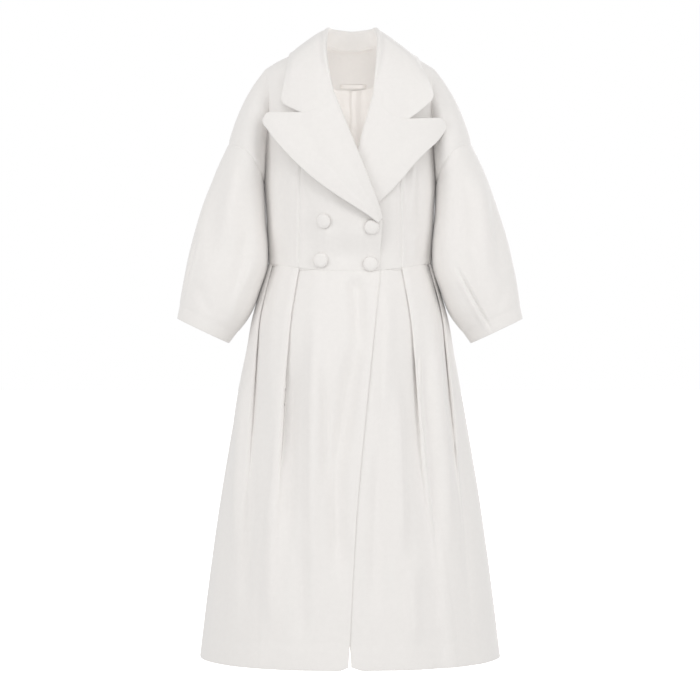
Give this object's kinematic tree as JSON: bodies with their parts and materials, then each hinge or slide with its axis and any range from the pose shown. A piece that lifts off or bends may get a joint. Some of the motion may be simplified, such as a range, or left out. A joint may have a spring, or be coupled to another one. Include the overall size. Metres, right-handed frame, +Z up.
{
  "type": "double-breasted coat",
  "caption": "Long ivory wool double-breasted coat with wide peak lapels, dropped shoulders, full cropped sleeves, a waist seam and a pleated flared skirt, hollow as worn.",
  "frame": {"origin": "between the wearer's shoulders at the base of the back of the neck, where the coat is held up", "axes": "+Z up, -Y the way the coat's front faces, +X the wearer's left"},
  "size_m": [0.652, 0.4031, 1.1962],
  "materials": {
    "wool_coating": "ivory wool coating with a short brushed nap",
    "lining_satin": "ivory satin lining",
    "covered_button": "domed button covered with the coat's own wool"
  },
  "bodies": {
    "root": {"front_centre_right": "wool_coating", "front_centre_left": "wool_coating", "front_side_right": "wool_coating", "front_side_left": "wool_coating", "back_bodice": "wool_coating", "sleeve_right": "wool_coating", "sleeve_left": "wool_coating", "lapel_right": "wool_coating", "lapel_left": "wool_coating", "collar_fall": "wool_coating", "collar_stand": "wool_coating", "skirt_front_right": "wool_coating", "skirt_front_left": "wool_coating", "skirt_back": "wool_coating", "back_neck_facing": "wool_coating", "back_lining": "lining_satin", "hanger_loop": "lining_satin", "button_upper_right": "covered_button", "button_upper_left": "covered_button", "button_lower_right": "covered_button", "button_lower_left": "covered_button"}
  },
  "joints": []
}
